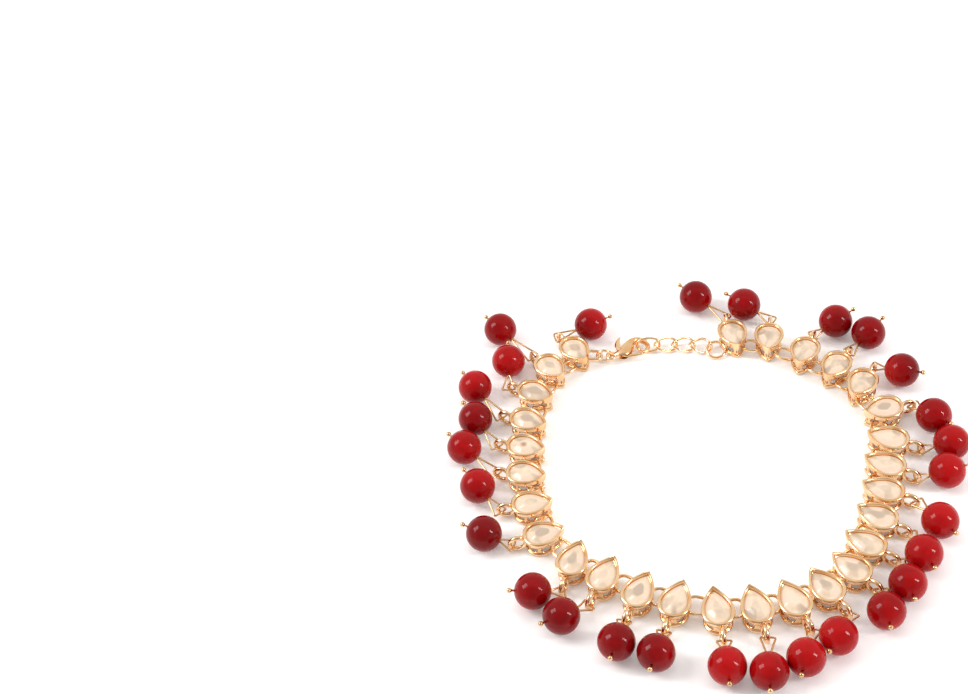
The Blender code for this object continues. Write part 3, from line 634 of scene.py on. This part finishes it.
# Oval link: a cosine along and a sine across that is drawn to a power, which squares its sides a little,
# rolled about its length by an angle that runs from end to end
def linkGrid(link):
    halfLength, halfWidth = chain["length"] / 2 - chain["wire"], chain["width"] / 2 - chain["wire"]
    turn = 2 * np.pi * np.arange(chain["around"]) / chain["around"]
    x = halfLength * np.cos(turn)
    y = halfWidth * np.sign(np.sin(turn)) * np.abs(np.sin(turn)) ** chain["squareness"]
    roll = np.radians(link["rolls"][1] + (link["rolls"][0] - link["rolls"][1]) * (x / halfLength + 1) / 2)
    local = np.stack([x, y * np.cos(roll), y * np.sin(roll)], -1)
    face = np.stack([0 * roll, -np.sin(roll), np.cos(roll)], -1)
    way = math.radians(link["way"] - 180)
    turnBy = np.array([[math.cos(way), math.sin(way), 0], [-math.sin(way), math.cos(way), 0], [0, 0, 1]])
    path = local @ turnBy + np.array([link["centre"][0], link["centre"][1], link["lift"]])
    return tubeGrid(path, chain["wire"], wireSides, face @ turnBy, True)


# Oval ring between the clasp's small ring and the first setting's gallery
def firstRingGrid(places):
    far = places["claspRing"] - heading(claspRing["heading"]) * firstRing["pastClaspRing"]
    way = far - places["spot"][0]
    start = places["spot"][0] + way / np.linalg.norm(way) * firstRing["inside"]
    path = jumpRingPath(start, far, firstRing["low"], firstRing["high"], firstRing["halfWidth"])
    return tubeGrid(path, firstRing["wire"], wireSides, upward, True)[None]


# Round ring at the last setting, lying at a lean, that the chain hangs in
def endRingGrid(places):
    lean = math.radians(chain["ringLean"])
    centre = (*places["endRing"], chain["ringLift"])
    path = ringPath(centre, (1, 0, 0), (0, math.cos(lean), math.sin(lean)), chain["ringRadius"])
    face = np.array([0, -math.sin(lean), math.cos(lean)])
    return tubeGrid(path, chain["ringWire"], wireSides, face, True)[None]


def makeSettings(places, metal, cream):
    count = len(places["spot"])
    halves = {"Left": np.arange(count // 2), "Right": np.arange(count // 2, count)}
    for side, rows in halves.items():
        spot, angle = places["spot"][rows], places["angle"][rows]
        cells = carry(galleryGrid(), spot, angle)
        cells = cells.reshape(-1, *cells.shape[2:])
        pairs = [(k, k + 1) for k in rows if k + 1 < count]
        grids = [(carry(bezelGrid(), spot, angle), True, True),
                 (carry(baseRingGrid(), spot, angle), True, True), (cells, True, True),
                 (carry(castLoopGrid(), spot, angle), True, True),
                 (jumpRingGrids(places, pairs), True, True)]
        grids.append((firstRingGrid(places) if side == "Left" else endRingGrid(places), True, True))
        made = surfaceObject("settings" + side, grids, metal, sharp=40)
        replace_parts(made, "setting_string_" + side.lower())
        # the stones carry their facets' painted shade, lighter or darker by facet, at each point
        grid, facetShades = stoneGrid()
        surfaceObject("stones" + side, [(carry(grid, spot, angle), True, False)], cream, sharp=60,
                      facetShades=facetShades[rows])
        print("settings and stones", side, len(made.data.polygons))


def makeDrops(places, wire, red):
    for k in range(len(places["bead"])):
        centre, axes, reach = dropFrame(places["bead"][k], places["hang"][k])
        name = f"{k + 1:02d}"
        bead = surfaceObject("bead_" + name, [(beadGrid(centre, axes), True, False)], red, sharp=50)
        surfaceObject("pin_" + name, pinGrids(centre, axes, reach), wire, sharp=60)
        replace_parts(bead, "drop_" + name)
    print("beads and pins")


# Slot through the claw for the lever: a thin plate of eight corners is cut out of the finished mesh
def cutSlot(body, eye):
    low, high, thick = clasp["slot"]
    aside = clasp["cutterReach"]
    corners = claspPoint([(low, -aside), (high, -aside), (high, aside), (low, aside)], eye)
    cutter = bpy.data.meshes.new("slotCutter")
    down, up = corners - [0, 0, thick / 2], corners + [0, 0, thick / 2]
    cutter.from_pydata((np.vstack([down, up]) * mm).tolist(), [],
                       [(0, 1, 2, 3), (7, 6, 5, 4), (0, 4, 5, 1), (1, 5, 6, 2), (2, 6, 7, 3), (3, 7, 4, 0)])
    shape = bmesh.new()
    shape.from_mesh(cutter)
    bmesh.ops.recalc_face_normals(shape, faces=shape.faces)
    shape.to_mesh(cutter)
    shape.free()
    tool = bpy.data.objects.new("slotCutter", cutter)
    bpy.context.scene.collection.objects.link(tool)
    cut = body.modifiers.new("slot", "BOOLEAN")
    cut.object, cut.operation, cut.solver, cut.use_self = tool, "DIFFERENCE", "EXACT", True
    bpy.context.view_layer.update()
    done = bpy.data.meshes.new_from_object(body.evaluated_get(bpy.context.evaluated_depsgraph_get()))
    body.modifiers.clear()
    body.data = done
    bpy.data.objects.remove(tool)


def makeClasp(places, metal):
    eye = places["claspEye"]
    eyePath = ringPath((*eye, clasp["lift"]), (1, 0, 0), (0, 1, 0), clasp["eyeRadius"])
    eyeGrid = tubeGrid(eyePath, clasp["eyeWire"], wireSides, upward, True)
    claw = barGrid(clasp["claw"], eye)
    body = surfaceObject("claspBody", [(claw[None], False, True), (eyeGrid[None], True, True)], metal,
                         sharp=50)
    cutSlot(body, eye)
    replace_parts(body, "clasp_body")
    lever = surfaceObject("claspLever", [(barGrid(clasp["gate"], eye)[None], False, True),
                                         (barGrid(clasp["fin"], eye)[None], False, True)], metal, sharp=50,
                          body="lever")
    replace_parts(lever, "clasp_lever")
    along, across = heading(claspRing["heading"]), heading(claspRing["heading"] + 90)
    path = ringPath((*places["claspRing"], claspRing["height"]), (*along, 0), (0, 0, 1), claspRing["radius"])
    grid = tubeGrid(path, claspRing["wire"], wireSides, np.array([*across, 0]), True)
    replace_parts(surfaceObject("claspRing", [(grid[None], True, True)], metal), "clasp_ring")
    print("clasp")


def makeChain(places, metal):
    for link in places["links"]:
        made = surfaceObject(f"link_{link['number']:02d}", [(linkGrid(link)[None], True, True)], metal)
        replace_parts(made, f"chain_link_{link['number']:02d}")
    print("chain")


floorLook = {
    "reach": 2.0, "under": 0.0001,                 # metres
    "low": (0.93, 0.93, 0.93, 1), "high": (0.95, 0.95, 0.95, 1), "cloudScale": 30,
    "roughness": 0.9, "specular": 0.1, "glow": (1.0, 0.97, 0.94, 1), "glowStrength": 0.12,
}


def makeFloor():
    mesh = bpy.data.meshes.new("floor")
    r, z = floorLook["reach"], -floorLook["under"]
    mesh.from_pydata([(-r, -r, z), (r, -r, z), (r, r, z), (-r, r, z)], [], [(0, 1, 2, 3)])
    floor = bpy.data.objects.new("floor", mesh)
    bpy.context.scene.collection.objects.link(floor)
    material, nodes, links, shader = nodeMaterial("paleFloor")
    where, noise = nodes.new("ShaderNodeTexCoord"), nodes.new("ShaderNodeTexNoise")
    ramp = nodes.new("ShaderNodeValToRGB")
    noise.inputs["Scale"].default_value = floorLook["cloudScale"]
    ramp.color_ramp.elements[0].color = floorLook["low"]
    ramp.color_ramp.elements[1].color = floorLook["high"]
    links.new(where.outputs["Object"], noise.inputs["Vector"])
    links.new(noise.outputs["Fac"], ramp.inputs["Fac"])
    links.new(ramp.outputs["Color"], shader.inputs["Base Color"])
    shader.inputs["Roughness"].default_value = floorLook["roughness"]
    shader.inputs["Specular IOR Level"].default_value = floorLook["specular"]
    shader.inputs["Emission Color"].default_value = floorLook["glow"]
    shader.inputs["Emission Strength"].default_value = floorLook["glowStrength"]
    mesh.materials.append(material)


light = {
    # the pale tent all round, and how much darker it is where the camera looks in
    "colour": (1.0, 0.985, 0.96, 1), "tent": 0.90, "cameraSide": 0.42, "darkWay": (0, -0.70, 0.71),
    "darkFrom": 0.55, "darkTo": 0.95,
    # each lamp: its place, width and height in metres, power, roll in degrees, and whether gloss shows it
    "overhead": ((0.0, 0.25, 0.9), (0.7, 0.5), 1.3, 0, False),
    "leftWindow": ((-0.55, 0.0, 0.55), (0.28, 0.40), 2.8, 15, True),
    "rightStrip": ((0.55, -0.15, 0.44), (0.10, 0.30), 2.0, 5, True),
}


# A lamp from the light's table, aimed at the anklet's middle
def areaLight(name):
    place, size, power, roll, glossy = light[name]
    lamp = bpy.data.lights.new(name, "AREA")
    lamp.shape, lamp.size, lamp.size_y, lamp.energy = "RECTANGLE", size[0], size[1], power
    made = bpy.data.objects.new(name, lamp)
    aim = (-Vector(place)).to_track_quat("-Z", "Y").to_matrix()
    turned = aim @ Matrix.Rotation(math.radians(roll), 3, "Z")
    made.matrix_world = Matrix.Translation(place) @ turned.to_4x4()
    made.visible_glossy = glossy
    bpy.context.scene.collection.objects.link(made)


def makeLight():
    world = bpy.data.worlds.new("studio")
    world.use_nodes = True
    nodes, links = world.node_tree.nodes, world.node_tree.links
    background = nodes["Background"]
    background.inputs["Color"].default_value = light["colour"]
    where, toward = nodes.new("ShaderNodeTexCoord"), nodes.new("ShaderNodeVectorMath")
    fade = nodes.new("ShaderNodeMapRange")
    toward.operation = "DOT_PRODUCT"
    toward.inputs[1].default_value = light["darkWay"]
    fade.interpolation_type = "SMOOTHSTEP"
    fade.inputs["From Min"].default_value = light["darkFrom"]
    fade.inputs["From Max"].default_value = light["darkTo"]
    fade.inputs["To Min"].default_value = light["tent"]
    fade.inputs["To Max"].default_value = light["cameraSide"]
    links.new(where.outputs["Generated"], toward.inputs[0])
    links.new(toward.outputs["Value"], fade.inputs["Value"])
    links.new(fade.outputs["Result"], background.inputs["Strength"])
    bpy.context.scene.world = world
    for name in ("overhead", "leftWindow", "rightStrip"):
        areaLight(name)


# Lens, sensor, distance and aim in millimetres, the pixel of the photo's frame that the aim falls on, and
# the nearest that is seen in metres
camera = {"lens": 58.76, "sensor": 36.0, "elevation": 51.0, "distance": 360.0, "aim": (0.26, -0.61),
          "aimPixel": (707, 480), "frameSize": (968, 694), "nearest": 0.01}


# Camera aimed at the origin from its elevation, then turned the least that puts the aim on its pixel
def makeCamera():
    lens = bpy.data.cameras.new("camera")
    lens.lens, lens.sensor_width, lens.sensor_fit = camera["lens"], camera["sensor"], "HORIZONTAL"
    lens.clip_start = camera["nearest"]
    made = bpy.data.objects.new("camera", lens)
    tilt = math.radians(camera["elevation"])
    back = Vector((0, -math.cos(tilt), math.sin(tilt)))
    right = Vector((1, 0, 0))
    start = Matrix((right, back.cross(right), back)).transposed()
    (wide, high), (across, down) = camera["frameSize"], camera["aimPixel"]
    focal = camera["lens"] / camera["sensor"] * wide
    aim = Vector(((across - wide / 2) / focal, (high / 2 - down) / focal, -1)).normalized()
    turn = Vector((0, 0, -1)).rotation_difference(aim).to_matrix()
    place = Vector((*camera["aim"], 0)) + back * camera["distance"]
    made.matrix_world = Matrix.Translation(place * mm) @ (start @ turn.transposed()).to_4x4()
    bpy.context.scene.collection.objects.link(made)
    bpy.context.scene.camera = made


bpy.context.scene.view_settings.view_transform = "Standard"
makeCamera()
makeFloor()
makeLight()
goldMetal, pinMetal = goldMaterial("polishedGold", gold), goldMaterial("pinWire", wireGold)
redGlass, creamStone = glassMaterial(), pearlMaterial()
places = placeStations()
placeChain(places)
makeSettings(places, goldMetal, creamStone)
makeDrops(places, pinMetal, redGlass)
makeClasp(places, goldMetal)
makeChain(places, goldMetal)
